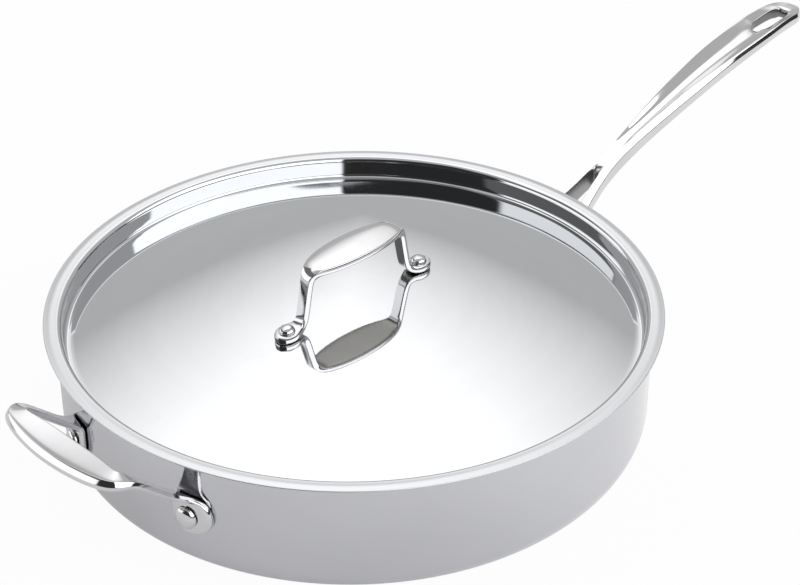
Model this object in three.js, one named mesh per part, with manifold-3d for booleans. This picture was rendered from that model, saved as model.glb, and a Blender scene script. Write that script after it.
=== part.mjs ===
// Saute pan with a drop-in lid: clad pan body, riveted cast handles, pressed lid with a bridge handle.
// Millimetres, +Z up. The origin is the centre of the base underside; the long handle points along +X.
import * as THREE from "three";
import { mergeVertices } from "three/addons/utils/BufferGeometryUtils.js";
import Module from "manifold-3d";

// Pan body
const PAN_HEIGHT = 70.9; // base underside to the top of the pouring lip
const PAN_WALL_R = 161.5; // outside of the upright wall
const PAN_LIP_OVERHANG = 2.8; // how far the lip stands out from the wall
const BASE_CORNER_R = 17; // outside radius between base and wall
const LIP_BEND_R = 2; // radius in the corner under the lip
const OUTER_PLY = 0.5;
const CORE_PLY = 1;
const INNER_PLY = 0.5;
const PLY_GAP = 0.2; // stands for the bond between two plies

// Lid
const LID_SHEET = 0.8;
const LID_SEAT_GAP = 0.3; // flange above the lip
const LID_SKIRT_GAP = 0.8; // skirt inside the wall
const LID_OVERHANG = 3.2; // flange edge past the lip edge
const LID_RECESS = 12.5; // flange top down to the flat ring
const LID_FILLET_R = 2.2; // between skirt and flat ring
const LID_CREST_R = 3.2; // between skirt and flange
const LID_RING_WIDTH = 1.5; // flat ring between fillet and dome
const LID_DOME_RISE = 12; // flat ring up to the crown

// Lid handle
const LID_HANDLE_RIVET_SPACING = 99;
const LID_HANDLE_HEIGHT = 36.4; // grip crown above the lid crown
const LID_HANDLE_GRIP_SPAN = 66.5; // between the upper bends
const LID_HANDLE_FOOT_SPAN = 78; // between the lower bends
const LID_HANDLE_GRIP_ARCH = 0.8; // crown above the grip ends
const LID_HANDLE_GRIP_WIDTH = 24.6;
const LID_HANDLE_LEAF_LENGTH = 70; // of the grip's leaf outline seen from above
const LID_HANDLE_LEG_WIDTH = 7.4;
const LID_HANDLE_FOOT_WIDTH = 13.5;
const LID_HANDLE_FOOT_END = 7.4; // rivet to the free end of the foot
const LID_HANDLE_GRIP_THICK = 3.8;
const LID_HANDLE_LEG_THICK = 4;
const LID_HANDLE_BEND = 5.3; // length of strip taken up by each bend

// Riveted feet of both pan handles
const FOOT_RIVET_Z = 38.2; // height of every wall rivet
const FOOT_THICK = 3.6;
const FOOT_HEIGHT = 19.6;
const FOOT_END = 14; // rivet to the free end of the foot
const FOOT_INNER = 9; // rivet to the leg side of the foot

// Long handle
const LONG_LENGTH = 234.5; // wall to tip
const LONG_ROOT_TOP_Z = 49; // top of the legs at the wall
const LONG_RISE = 69.2; // root to tip, along the top
const LONG_LEVEL_POWER = 2.1; // how early the handle levels out
const LONG_ROOT_WIDTH = 34;
const LONG_WAIST_WIDTH = 12.6;
const LONG_WAIST_AT = 55; // from the wall
const LONG_GRIP_WIDTH = 27.4;
const LONG_GRIP_FROM_TIP = 49.5; // widest place to the tip
const LONG_TIP_R = 12;
const LONG_SQUARENESS = 0.28; // of the handle's section, 1 being an ellipse
const LONG_ROOT_THICK = 14;
const LONG_WAIST_THICK = 13.4;
const LONG_GRIP_THICK = 8;
const LONG_DISH = 3; // depth of the hollow along the grip
const FORK_END_AT = 44.5; // closed end of the fork, from the wall
const FORK_END_R = 3.8;
const FORK_MOUTH_WIDTH = 26;
const HANG_SLOT_FROM_TIP = 11; // outer end of the hanging slot to the tip
const HANG_SLOT_LENGTH = 28.5;
const HANG_SLOT_WIDTH = 12;

// Helper handle
const HELPER_RIVET_AZIMUTH = 15.8; // degrees either side of -X
const HELPER_LEG_OFFSET = 42.2; // sideways from the handle's middle to the middle of a leg
const HELPER_REACH = 46.5; // wall to the outer edge of the grip
const HELPER_GRIP_TOP_Z = 80;
const HELPER_GRIP_WIDTH = 19.3;
const HELPER_GRIP_THICK = 6.4;
const HELPER_GRIP_END_WIDTH = 9;
const HELPER_LEG_WIDTH = 9.6;
const HELPER_LEG_THICK = 3.2;
const HELPER_ROOT_Z = 47; // middle of a leg's strip in its foot
const HELPER_DISH = 1.8;

// Rivets
const WALL_RIVET_HEAD_R = 6.2;
const WALL_RIVET_HEAD_H = 3;
const WALL_RIVET_SHANK_R = 3;
const WALL_RIVET_TAIL_R = 7;
const WALL_RIVET_TAIL_H = 1.8;
const LID_RIVET_HEAD_R = 4.5;
const LID_RIVET_HEAD_H = 2.8;
const LID_RIVET_SHANK_R = 2.2;
const LID_RIVET_TAIL_R = 4.5;
const LID_RIVET_TAIL_H = 1.4;

// Clearances between separate pieces
const SEAT_GAP = 0.3; // foot on wall, foot on lid, head on foot
const TAIL_GAP = 0.5; // rivet tail on the faceted inner wall
const HOLE_GAP = 0.3; // shank in its hole
const HEAD_GAP = 1.6; // rivet head beside the root of a handle leg

// Fineness of the curved faces
const ROUND_STEPS = 48; // round the pan
const RIVET_STEPS = 12; // round a rivet
const SECTION_POINTS = 16; // round a handle section
const MERGE_TOLERANCE = 1e-4;

// Sizes worked out from the ones above
const CORE_DEPTH = OUTER_PLY + PLY_GAP;
const LINER_DEPTH = CORE_DEPTH + CORE_PLY + PLY_GAP;
const PAN_THICK = LINER_DEPTH + INNER_PLY;
const PAN_INNER_R = PAN_WALL_R - PAN_THICK;
const PAN_LIP_R = PAN_WALL_R + PAN_LIP_OVERHANG;
const LIP_CENTRE_R = PAN_WALL_R + LIP_BEND_R;
const LIP_CENTRE_Z = PAN_HEIGHT - PAN_THICK - LIP_BEND_R;
const LID_TOP_Z = PAN_HEIGHT + LID_SEAT_GAP + LID_SHEET;
const LID_RING_Z = LID_TOP_Z - LID_RECESS;
const LID_SKIRT_R = PAN_INNER_R - LID_SKIRT_GAP - LID_SHEET;
const LID_CREST_CENTRE_R = LID_SKIRT_R + LID_CREST_R;
const LID_DOME_R = LID_SKIRT_R - LID_FILLET_R - LID_RING_WIDTH;
const FOOT_FACE_R = PAN_WALL_R + SEAT_GAP;
const FOOT_OUTER_R = FOOT_FACE_R + FOOT_THICK;
const LONG_GRIP_AT = LONG_LENGTH - LONG_GRIP_FROM_TIP; // from the wall
const LONG_RIVET_OFFSET = LONG_ROOT_WIDTH / 2 + HEAD_GAP + WALL_RIVET_HEAD_R; // sideways from the middle
const LONG_RIVET_AZIMUTH = THREE.MathUtils.radToDeg(Math.asin(LONG_RIVET_OFFSET / PAN_WALL_R));
const LID_RIVET_X = LID_HANDLE_RIVET_SPACING / 2;
const HUGE = 2 * PAN_LIP_R; // longer than any cut needs

const wasm = await Module();
wasm.setup();

// Position-only copy with shared vertices merged, collapsed triangles dropped and faces pointing out.
function closedGeometry(source) {
  const bare = new THREE.BufferGeometry();
  bare.setAttribute("position", source.getAttribute("position").clone());
  if (source.index) bare.setIndex(source.index.clone());
  const merged = mergeVertices(bare, MERGE_TOLERANCE);
  const corners = merged.index.array;
  const kept = [];
  for (let i = 0; i < corners.length; i += 3) {
    const [a, b, c] = corners.slice(i, i + 3);
    if (a !== b && b !== c && c !== a) kept.push(a, b, c);
  }
  if (signedVolume(merged.getAttribute("position"), kept) < 0) kept.reverse();
  merged.setIndex(kept);
  return merged;
}

function signedVolume(position, corners) {
  const [a, b, c] = [new THREE.Vector3(), new THREE.Vector3(), new THREE.Vector3()];
  let volume = 0;
  for (let i = 0; i < corners.length; i += 3) {
    a.fromBufferAttribute(position, corners[i]);
    b.fromBufferAttribute(position, corners[i + 1]);
    c.fromBufferAttribute(position, corners[i + 2]);
    volume += a.dot(b.cross(c)) / 6;
  }
  return volume;
}

function toSolid(geometry) {
  const closed = closedGeometry(geometry);
  const vertProperties = new Float32Array(closed.getAttribute("position").array);
  const triVerts = new Uint32Array(closed.index.array);
  return new wasm.Manifold(new wasm.Mesh({ numProp: 3, vertProperties, triVerts }));
}

function toGeometry(solid) {
  const mesh = solid.getMesh();
  const geometry = new THREE.BufferGeometry();
  geometry.setAttribute("position", new THREE.BufferAttribute(mesh.vertProperties, 3));
  geometry.setIndex(new THREE.BufferAttribute(mesh.triVerts, 1));
  return geometry;
}

// Points of an arc in the (radius, height) plane, angles in degrees.
function arc(centreR, centreZ, radius, from, to, steps) {
  const points = [];
  for (let i = 0; i <= steps; i++) {
    const angle = THREE.MathUtils.degToRad(THREE.MathUtils.lerp(from, to, i / steps));
    points.push(new THREE.Vector2(centreR + radius * Math.cos(angle), centreZ + radius * Math.sin(angle)));
  }
  return points;
}

// A profile of (radius, height) points turned about the Z axis.
function turned(profile, steps) {
  const lathe = new THREE.LatheGeometry(profile, steps);
  lathe.rotateX(Math.PI / 2);
  return lathe;
}

function cylinder(radius, bottom, top, steps) {
  const profile = [
    new THREE.Vector2(0, bottom),
    new THREE.Vector2(radius, bottom),
    new THREE.Vector2(radius, top),
    new THREE.Vector2(0, top),
  ];
  return turned(profile, steps);
}

// A flat shape given thickness from one height to another.
function plate(shape, bottom, top) {
  const options = { depth: top - bottom, bevelEnabled: false, curveSegments: 8 };
  return new THREE.ExtrudeGeometry(shape, options).translate(0, 0, bottom);
}

// A closed skin through a row of sections with equal point counts, capped at both ends.
function loft(sections) {
  const count = sections[0].length;
  const last = (sections.length - 1) * count;
  const index = [];
  for (let row = 0; row < last; row += count) {
    for (let j = 0; j < count; j++) {
      const a = row + j;
      const b = row + ((j + 1) % count);
      index.push(a, b, b + count, a, b + count, a + count);
    }
  }
  for (let j = 1; j < count - 1; j++) {
    index.push(0, j + 1, j, last, last + j, last + j + 1);
  }
  const geometry = new THREE.BufferGeometry().setFromPoints(sections.flat());
  geometry.setIndex(index);
  return geometry;
}

// Rounded section: across is its width direction, up its thickness direction, dish hollows the upper face.
// A squareness of 1 gives an ellipse, less gives squarer corners.
function roundedSection({ centre, across, up, width, thick, dish = 0, squareness = 0.5 }) {
  const dishShare = 0.8;
  const points = [];
  for (let i = 0; i < SECTION_POINTS; i++) {
    const angle = (2 * Math.PI * i) / SECTION_POINTS;
    const x = Math.sign(Math.cos(angle)) * Math.abs(Math.cos(angle)) ** squareness;
    const y = Math.sign(Math.sin(angle)) * Math.abs(Math.sin(angle)) ** squareness;
    const hollow = y > 0 ? dish * Math.max(0, 1 - (x / dishShare) ** 2) : 0;
    const point = centre.clone().addScaledVector(across, (x * width) / 2);
    points.push(point.addScaledVector(up, (y * thick) / 2 - hollow));
  }
  return points;
}

// One face of the pan wall, a given depth inside its outer face, from the axis to the lip edge.
function panFace(depth) {
  const cornerR = PAN_WALL_R - BASE_CORNER_R;
  return [
    new THREE.Vector2(0, depth),
    ...arc(cornerR, BASE_CORNER_R, BASE_CORNER_R - depth, -90, 0, 4),
    ...arc(LIP_CENTRE_R, LIP_CENTRE_Z, LIP_BEND_R + depth, 180, 90, 3),
    new THREE.Vector2(PAN_LIP_R, LIP_CENTRE_Z + LIP_BEND_R + depth),
  ];
}

function panPly(outerDepth, innerDepth) {
  const profile = [...panFace(outerDepth), ...panFace(innerDepth).reverse()];
  return toSolid(turned(profile, ROUND_STEPS));
}

function domeHeight(radius) {
  return LID_DOME_RISE * Math.max(0, 1 - (radius / LID_DOME_R) ** 2);
}

// One face of the lid sheet, a given depth below its top face, from the axis to the flange edge.
function lidFace(depth) {
  const domeSteps = 6;
  const dome = [];
  for (let i = 0; i <= domeSteps; i++) {
    const radius = (LID_DOME_R * i) / domeSteps;
    dome.push(new THREE.Vector2(radius, LID_RING_Z - depth + domeHeight(radius)));
  }
  const filletR = LID_SKIRT_R - LID_FILLET_R;
  return [
    ...dome,
    ...arc(filletR, LID_RING_Z + LID_FILLET_R, LID_FILLET_R + depth, -90, 0, 3),
    ...arc(LID_CREST_CENTRE_R, LID_TOP_Z - LID_CREST_R, LID_CREST_R - depth, 180, 90, 4),
    new THREE.Vector2(PAN_LIP_R + LID_OVERHANG, LID_TOP_Z - depth),
  ];
}

function lidSheet() {
  const profile = [...lidFace(0), ...lidFace(LID_SHEET).reverse()];
  return toSolid(turned(profile, ROUND_STEPS));
}

// Rivet along +Z: head above the seat at height 0, tail below the clamped stack.
function rivetProfile({ headR, headH, shankR, tailR, tailH, stack }) {
  const domeSteps = 3;
  const points = [];
  for (let i = 0; i <= domeSteps; i++) {
    const angle = (Math.PI / 2) * (i / domeSteps);
    points.push(new THREE.Vector2(tailR * Math.sin(angle), -stack - tailH * Math.cos(angle)));
  }
  points.push(new THREE.Vector2(shankR, -stack), new THREE.Vector2(shankR, 0));
  for (let i = 0; i <= domeSteps; i++) {
    const angle = (Math.PI / 2) * (i / domeSteps);
    points.push(new THREE.Vector2(headR * Math.cos(angle), headH * Math.sin(angle)));
  }
  return points;
}

// Turns +Z to point outwards through the wall at an azimuth, with its origin at a given radius.
function wallMatrix(azimuth, radius, height) {
  const turn = new THREE.Matrix4().makeRotationZ(THREE.MathUtils.degToRad(azimuth));
  const lay = new THREE.Matrix4().makeRotationY(Math.PI / 2);
  const shift = new THREE.Matrix4().makeTranslation(radius, 0, height);
  return turn.multiply(shift).multiply(lay);
}

const WALL_RIVET_SEAT_R = FOOT_OUTER_R + SEAT_GAP;

function wallRivet(azimuth) {
  const profile = rivetProfile({
    headR: WALL_RIVET_HEAD_R,
    headH: WALL_RIVET_HEAD_H,
    shankR: WALL_RIVET_SHANK_R,
    tailR: WALL_RIVET_TAIL_R,
    tailH: WALL_RIVET_TAIL_H,
    stack: WALL_RIVET_SEAT_R - PAN_INNER_R + TAIL_GAP,
  });
  const matrix = wallMatrix(azimuth, WALL_RIVET_SEAT_R, FOOT_RIVET_Z);
  return toSolid(turned(profile, RIVET_STEPS).applyMatrix4(matrix));
}

function wallRivetHole(azimuth) {
  const hole = cylinder(WALL_RIVET_SHANK_R + HOLE_GAP, -FOOT_END, FOOT_END, RIVET_STEPS);
  return toSolid(hole.applyMatrix4(wallMatrix(azimuth, PAN_WALL_R, FOOT_RIVET_Z)));
}

// Curved foot against the wall; side is +1 where its free end points to rising azimuth, -1 the other way.
function wallFoot(azimuth, side) {
  const half = FOOT_HEIGHT / 2;
  const outline = new THREE.Shape();
  outline.moveTo(-half, -FOOT_INNER);
  outline.lineTo(half, -FOOT_INNER);
  outline.lineTo(half, 0);
  outline.absellipse(0, 0, half, FOOT_END, 0, Math.PI, false);
  outline.lineTo(-half, -FOOT_INNER);
  const block = plate(outline, -FOOT_END, FOOT_END);
  if (side < 0) block.scale(1, -1, 1);
  const radius = (FOOT_FACE_R + FOOT_OUTER_R) / 2;
  block.applyMatrix4(wallMatrix(azimuth, radius, FOOT_RIVET_Z));
  return toSolid(block).intersect(wallRing(FOOT_FACE_R, FOOT_OUTER_R));
}

// Ring round the wall, wide enough in height for the feet.
function wallRing(innerR, outerR) {
  const bottom = FOOT_RIVET_Z - FOOT_HEIGHT;
  const top = FOOT_RIVET_Z + FOOT_HEIGHT;
  const profile = [
    new THREE.Vector2(innerR, bottom),
    new THREE.Vector2(outerR, bottom),
    new THREE.Vector2(outerR, top),
    new THREE.Vector2(innerR, top),
    new THREE.Vector2(innerR, bottom),
  ];
  return toSolid(turned(profile, ROUND_STEPS));
}

function wallClearance() {
  return toSolid(cylinder(FOOT_FACE_R, -HUGE, HUGE, ROUND_STEPS));
}

// Top of the long handle at a distance from the wall.
function longTopZ(distance) {
  const share = THREE.MathUtils.clamp(distance / LONG_LENGTH, 0, 1);
  return LONG_ROOT_TOP_Z + LONG_RISE * (1 - (1 - share) ** LONG_LEVEL_POWER);
}

// Stations of the long handle as (distance from the wall, half width): a smooth outline, then a round tip.
function longOutline() {
  const tipCentre = LONG_LENGTH - LONG_TIP_R;
  const rootHalf = LONG_ROOT_WIDTH / 2;
  const waistHalf = LONG_WAIST_WIDTH / 2;
  const gripHalf = LONG_GRIP_WIDTH / 2;
  const outline = new THREE.SplineCurve([
    new THREE.Vector2(-3, rootHalf + 1.5),
    new THREE.Vector2(LONG_WAIST_AT / 2, (rootHalf + waistHalf) / 2 - 2),
    new THREE.Vector2(LONG_WAIST_AT, waistHalf),
    new THREE.Vector2((LONG_WAIST_AT + LONG_GRIP_AT) / 2, (waistHalf + 2 * gripHalf) / 3),
    new THREE.Vector2(LONG_GRIP_AT, gripHalf),
    new THREE.Vector2(tipCentre, LONG_TIP_R),
  ]);
  return [...outline.getPoints(20), ...arc(tipCentre, 0, LONG_TIP_R, 72, 14, 4)];
}

function longHandle() {
  const across = new THREE.Vector3(0, 1, 0);
  const up = new THREE.Vector3(0, 0, 1);
  const sections = longOutline().map(({ x: distance, y: halfWidth }) => {
    const root = THREE.MathUtils.clamp(1 - distance / LONG_WAIST_AT, 0, 1);
    const grip = THREE.MathUtils.clamp((distance - LONG_WAIST_AT) / (LONG_LENGTH - LONG_WAIST_AT), 0, 1);
    const neckThick = THREE.MathUtils.lerp(LONG_WAIST_THICK, LONG_ROOT_THICK, root);
    const thick = THREE.MathUtils.lerp(neckThick, LONG_GRIP_THICK, Math.min(1, 1.24 * grip) ** 2);
    const dish = LONG_DISH * Math.sqrt(Math.max(0, Math.sin(Math.PI * grip)));
    const centre = new THREE.Vector3(PAN_WALL_R + distance, 0, longTopZ(distance) - thick / 2);
    const size = { width: 2 * halfWidth, thick, dish, squareness: LONG_SQUARENESS };
    return roundedSection({ centre, across, up, ...size });
  });
  const azimuth = LONG_RIVET_AZIMUTH;
  return toSolid(loft(sections))
    .subtract(toSolid(plate(forkSlot(), -HUGE, HUGE)))
    .subtract(toSolid(plate(hangSlot(), -HUGE, HUGE)))
    .subtract(wallClearance())
    .add(wallFoot(azimuth, 1))
    .add(wallFoot(-azimuth, -1))
    .subtract(wallRivetHole(azimuth))
    .subtract(wallRivetHole(-azimuth));
}

// Opening between the two legs, seen from above: round at its end, widest at the wall.
function forkSlot() {
  const endX = PAN_WALL_R + FORK_END_AT - FORK_END_R;
  const mouthX = PAN_WALL_R - FORK_END_AT;
  const mouthHalf = FORK_MOUTH_WIDTH / 2;
  const slot = new THREE.Shape();
  slot.moveTo(mouthX, -mouthHalf);
  slot.lineTo(PAN_WALL_R, -mouthHalf);
  slot.quadraticCurveTo(endX - FORK_END_R, -FORK_END_R, endX, -FORK_END_R);
  slot.absarc(endX, 0, FORK_END_R, -Math.PI / 2, Math.PI / 2, false);
  slot.quadraticCurveTo(endX - FORK_END_R, FORK_END_R, PAN_WALL_R, mouthHalf);
  slot.lineTo(mouthX, mouthHalf);
  return slot;
}

function hangSlot() {
  const endR = HANG_SLOT_WIDTH / 2;
  const outerX = PAN_WALL_R + LONG_LENGTH - HANG_SLOT_FROM_TIP - endR;
  const innerX = outerX - HANG_SLOT_LENGTH + HANG_SLOT_WIDTH;
  const slot = new THREE.Shape();
  slot.absarc(innerX, 0, endR, Math.PI / 2, (3 * Math.PI) / 2, false);
  slot.absarc(outerX, 0, endR, -Math.PI / 2, Math.PI / 2, false);
  return slot;
}

// Middle line of the helper handle, from one foot over the grip to the other.
function helperPath() {
  const gripZ = HELPER_GRIP_TOP_Z - HELPER_GRIP_THICK / 2;
  const gripX = PAN_WALL_R + HELPER_REACH - HELPER_GRIP_WIDTH / 2;
  const innerX = PAN_WALL_R + HELPER_REACH - HELPER_GRIP_WIDTH;
  const root = new THREE.Vector3(-PAN_WALL_R + FOOT_THICK, -HELPER_LEG_OFFSET, HELPER_ROOT_Z);
  const legTopZ = gripZ - 0.6 * HELPER_GRIP_THICK;
  const legTop = new THREE.Vector3(-innerX + 0.3 * HELPER_LEG_WIDTH, -HELPER_LEG_OFFSET, legTopZ);
  const cornerX = innerX + 0.53 * HELPER_LEG_WIDTH;
  const cornerY = HELPER_LEG_OFFSET - 0.27 * HELPER_LEG_WIDTH;
  const half = [
    root.clone().lerp(legTop, -0.2),
    root,
    root.clone().lerp(legTop, 0.5),
    legTop,
    new THREE.Vector3(-cornerX, -cornerY, gripZ),
    new THREE.Vector3(-gripX + 0.7, -0.6 * HELPER_LEG_OFFSET, gripZ),
    new THREE.Vector3(-gripX, -0.25 * HELPER_LEG_OFFSET, gripZ),
  ];
  const mirrored = half.map((p) => new THREE.Vector3(p.x, -p.y, p.z)).reverse();
  return new THREE.CatmullRomCurve3([...half, ...mirrored], false, "centripetal");
}

// One strip: its width lies sideways along the legs and in line with the handle along the grip.
function helperHandle() {
  const path = helperPath();
  const steps = 44;
  const gripAcross = new THREE.Vector3(1, 0, 0);
  const sections = [];
  for (let i = 0; i <= steps; i++) {
    const centre = path.getPoint(i / steps);
    const along = path.getTangent(i / steps);
    const nearEnd = Math.abs(centre.y) / HELPER_LEG_OFFSET;
    const grip = 1 - THREE.MathUtils.smoothstep(nearEnd, 0.84, 1);
    const across = new THREE.Vector3(0, -Math.sign(centre.y), 0).lerp(gripAcross, grip);
    across.addScaledVector(along, -across.dot(along)).normalize();
    const up = across.clone().cross(along).normalize();
    const leaf = Math.cos((Math.PI / 2) * Math.min(1, nearEnd));
    const gripWidth = THREE.MathUtils.lerp(HELPER_GRIP_END_WIDTH, HELPER_GRIP_WIDTH, leaf);
    const width = THREE.MathUtils.lerp(HELPER_LEG_WIDTH, gripWidth, grip);
    const thick = THREE.MathUtils.lerp(HELPER_LEG_THICK, HELPER_GRIP_THICK, grip);
    sections.push(roundedSection({ centre, across, up, width, thick, dish: HELPER_DISH * leaf * grip }));
  }
  const rivets = [180 - HELPER_RIVET_AZIMUTH, 180 + HELPER_RIVET_AZIMUTH];
  return toSolid(loft(sections))
    .subtract(wallClearance())
    .add(wallFoot(rivets[0], -1))
    .add(wallFoot(rivets[1], 1))
    .subtract(wallRivetHole(rivets[0]))
    .subtract(wallRivetHole(rivets[1]));
}

const LID_FOOT_Z = LID_RING_Z + SEAT_GAP; // underside of a foot, less the dome's own height
const LID_HANDLE_TOP_Z = LID_RING_Z + LID_DOME_RISE + LID_HANDLE_HEIGHT;

// Middle line of half the lid handle, foot to crown in the XZ plane, as curves with their step counts.
function lidHandlePath() {
  const footX = LID_HANDLE_FOOT_SPAN / 2;
  const gripX = LID_HANDLE_GRIP_SPAN / 2;
  const endX = LID_RIVET_X + LID_HANDLE_FOOT_END;
  const footAt = (x) => new THREE.Vector3(-x, 0, LID_FOOT_Z + domeHeight(x) + LID_HANDLE_LEG_THICK / 2);
  const crownZ = LID_HANDLE_TOP_Z - LID_HANDLE_GRIP_THICK / 2;
  const gripCorner = new THREE.Vector3(-gripX, 0, crownZ - LID_HANDLE_GRIP_ARCH);
  const footCorner = footAt(footX);
  const leg = gripCorner.clone().sub(footCorner).normalize();
  const legStart = footCorner.clone().addScaledVector(leg, LID_HANDLE_BEND);
  const legEnd = gripCorner.clone().addScaledVector(leg, -LID_HANDLE_BEND);
  const gripStart = new THREE.Vector3(-gripX + LID_HANDLE_BEND, 0, crownZ - LID_HANDLE_GRIP_ARCH * 0.66);
  const crown = new THREE.Vector3(0, 0, crownZ);
  const swell = new THREE.Vector3(-gripX / 2, 0, crownZ);
  return [
    [new THREE.LineCurve3(footAt(endX), footAt(footX + LID_HANDLE_BEND)), 6],
    [new THREE.QuadraticBezierCurve3(footAt(footX + LID_HANDLE_BEND), footCorner, legStart), 4],
    [new THREE.LineCurve3(legStart, legEnd), 2],
    [new THREE.QuadraticBezierCurve3(legEnd, gripCorner, gripStart), 4],
    [new THREE.QuadraticBezierCurve3(gripStart, swell, crown), 5],
  ];
}

// Stations along half the lid handle, as a middle point and its direction.
function lidHandleStations() {
  const stations = [];
  for (const [curve, steps] of lidHandlePath()) {
    for (let i = stations.length ? 1 : 0; i <= steps; i++) {
      stations.push({ centre: curve.getPoint(i / steps), along: curve.getTangent(i / steps) });
    }
  }
  const mirror = ({ centre, along }) => ({
    centre: new THREE.Vector3(-centre.x, 0, centre.z),
    along: new THREE.Vector3(along.x, 0, -along.z),
  });
  return [...stations, ...stations.slice(0, -1).reverse().map(mirror)];
}

function lidHandle() {
  const across = new THREE.Vector3(0, 1, 0);
  const sections = lidHandleStations().map(({ centre, along }) => {
    const up = along.clone().cross(across).normalize();
    const x = Math.abs(centre.x);
    const leaf = Math.sqrt(Math.max(0, 1 - ((2 * x) / LID_HANDLE_LEAF_LENGTH) ** 2));
    const pastRivet = Math.max(0, x - LID_RIVET_X);
    const round = Math.sqrt(Math.max(0.04, 1 - (pastRivet / LID_HANDLE_FOOT_END) ** 2));
    const foot = THREE.MathUtils.smoothstep(x, LID_HANDLE_FOOT_SPAN / 2, LID_RIVET_X - 2);
    const stripWidth = THREE.MathUtils.lerp(LID_HANDLE_LEG_WIDTH, LID_HANDLE_FOOT_WIDTH, foot) * round;
    const width = (stripWidth ** 4 + (LID_HANDLE_GRIP_WIDTH * leaf) ** 4) ** 0.25;
    const thick = THREE.MathUtils.lerp(LID_HANDLE_LEG_THICK, LID_HANDLE_GRIP_THICK, leaf);
    return roundedSection({ centre, across, up, width, thick });
  });
  return toSolid(loft(sections)).subtract(lidRivetHole(1)).subtract(lidRivetHole(-1));
}

// Places +Z square to the dome at a lid rivet, at the top of the foot.
function lidRivetMatrix(side) {
  const step = 1;
  const slope = (domeHeight(LID_RIVET_X - step) - domeHeight(LID_RIVET_X + step)) / (2 * step);
  const seat = LID_FOOT_Z + domeHeight(LID_RIVET_X) + LID_HANDLE_LEG_THICK + SEAT_GAP;
  const shift = new THREE.Matrix4().makeTranslation(side * LID_RIVET_X, 0, seat);
  return shift.multiply(new THREE.Matrix4().makeRotationY(side * Math.atan(slope)));
}

function lidRivet(side) {
  const profile = rivetProfile({
    headR: LID_RIVET_HEAD_R,
    headH: LID_RIVET_HEAD_H,
    shankR: LID_RIVET_SHANK_R,
    tailR: LID_RIVET_TAIL_R,
    tailH: LID_RIVET_TAIL_H,
    stack: LID_HANDLE_LEG_THICK + LID_SHEET + 2 * SEAT_GAP + TAIL_GAP,
  });
  return toSolid(turned(profile, RIVET_STEPS).applyMatrix4(lidRivetMatrix(side)));
}

function lidRivetHole(side) {
  const hole = cylinder(LID_RIVET_SHANK_R + HOLE_GAP, -LID_RECESS, LID_RECESS, RIVET_STEPS);
  return toSolid(hole.applyMatrix4(lidRivetMatrix(side)));
}

const WALL_RIVETS = {
  long_handle_rivet_left: LONG_RIVET_AZIMUTH,
  long_handle_rivet_right: -LONG_RIVET_AZIMUTH,
  helper_rivet_left: 180 - HELPER_RIVET_AZIMUTH,
  helper_rivet_right: 180 + HELPER_RIVET_AZIMUTH,
};
const LID_RIVETS = { lid_rivet_left: -1, lid_rivet_right: 1 };

function withWallHoles(solid) {
  return Object.values(WALL_RIVETS).reduce((rest, azimuth) => rest.subtract(wallRivetHole(azimuth)), solid);
}

// Finishes
const FINISHES = {
  polished: { color: 0xc9cacd, roughness: 0.12, metalness: 1 },
  mirror: { color: 0xd0d1d3, roughness: 0.05, metalness: 1 },
  satin: { color: 0xb9babc, roughness: 0.3, metalness: 1 },
  aluminium: { color: 0xa9abad, roughness: 0.4, metalness: 1 },
  cast: { color: 0xd4d5d7, roughness: 0.08, metalness: 1 },
  rivet: { color: 0xcfd0d2, roughness: 0.15, metalness: 1 },
};

function named(name, solid, finish) {
  const mesh = new THREE.Mesh(toGeometry(solid), new THREE.MeshStandardMaterial(FINISHES[finish]));
  mesh.name = name;
  return mesh;
}

const panBody = new THREE.Group();
panBody.add(named("pan_outer_shell", withWallHoles(panPly(0, OUTER_PLY)), "polished"));
panBody.add(named("pan_core", withWallHoles(panPly(CORE_DEPTH, CORE_DEPTH + CORE_PLY)), "aluminium"));
panBody.add(named("pan_inner_liner", withWallHoles(panPly(LINER_DEPTH, PAN_THICK)), "satin"));
panBody.add(named("long_handle", longHandle(), "cast"));
panBody.add(named("helper_handle", helperHandle(), "cast"));
for (const [name, azimuth] of Object.entries(WALL_RIVETS)) {
  panBody.add(named(name, wallRivet(azimuth), "rivet"));
}

const lid = new THREE.Group();
const lidBlank = lidSheet();
lid.add(named("lid_cover", lidBlank.subtract(lidRivetHole(1)).subtract(lidRivetHole(-1)), "mirror"));
lid.add(named("lid_handle", lidHandle(), "cast"));
for (const [name, side] of Object.entries(LID_RIVETS)) {
  lid.add(named(name, lidRivet(side), "rivet"));
}

const sautePan = new THREE.Group();
sautePan.add(panBody, lid);

export default sautePan;
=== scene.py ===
# Looks of the saute pan with lid: fine surfaces, finishes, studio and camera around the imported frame.
from math import asin, atan, atan2, cos, degrees, pi, radians, sin, sqrt

import bmesh
import bpy
from mathutils import Euler, Matrix, Vector


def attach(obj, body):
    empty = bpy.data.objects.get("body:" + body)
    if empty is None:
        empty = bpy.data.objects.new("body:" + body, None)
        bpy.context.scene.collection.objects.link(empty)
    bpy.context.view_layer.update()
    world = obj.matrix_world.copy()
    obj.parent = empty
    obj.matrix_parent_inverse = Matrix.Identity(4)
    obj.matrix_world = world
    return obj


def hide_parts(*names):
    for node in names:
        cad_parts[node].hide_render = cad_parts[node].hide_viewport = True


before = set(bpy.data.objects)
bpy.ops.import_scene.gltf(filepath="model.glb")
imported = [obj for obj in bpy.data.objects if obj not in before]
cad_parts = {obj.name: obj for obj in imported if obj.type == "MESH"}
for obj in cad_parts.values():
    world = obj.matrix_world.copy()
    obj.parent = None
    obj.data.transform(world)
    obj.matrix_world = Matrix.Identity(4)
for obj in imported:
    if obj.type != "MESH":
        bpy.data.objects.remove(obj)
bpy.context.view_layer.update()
scene = bpy.context.scene

# Sizes are millimetres, as in the part's own source, until a mesh is written
MM = 0.001

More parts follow.
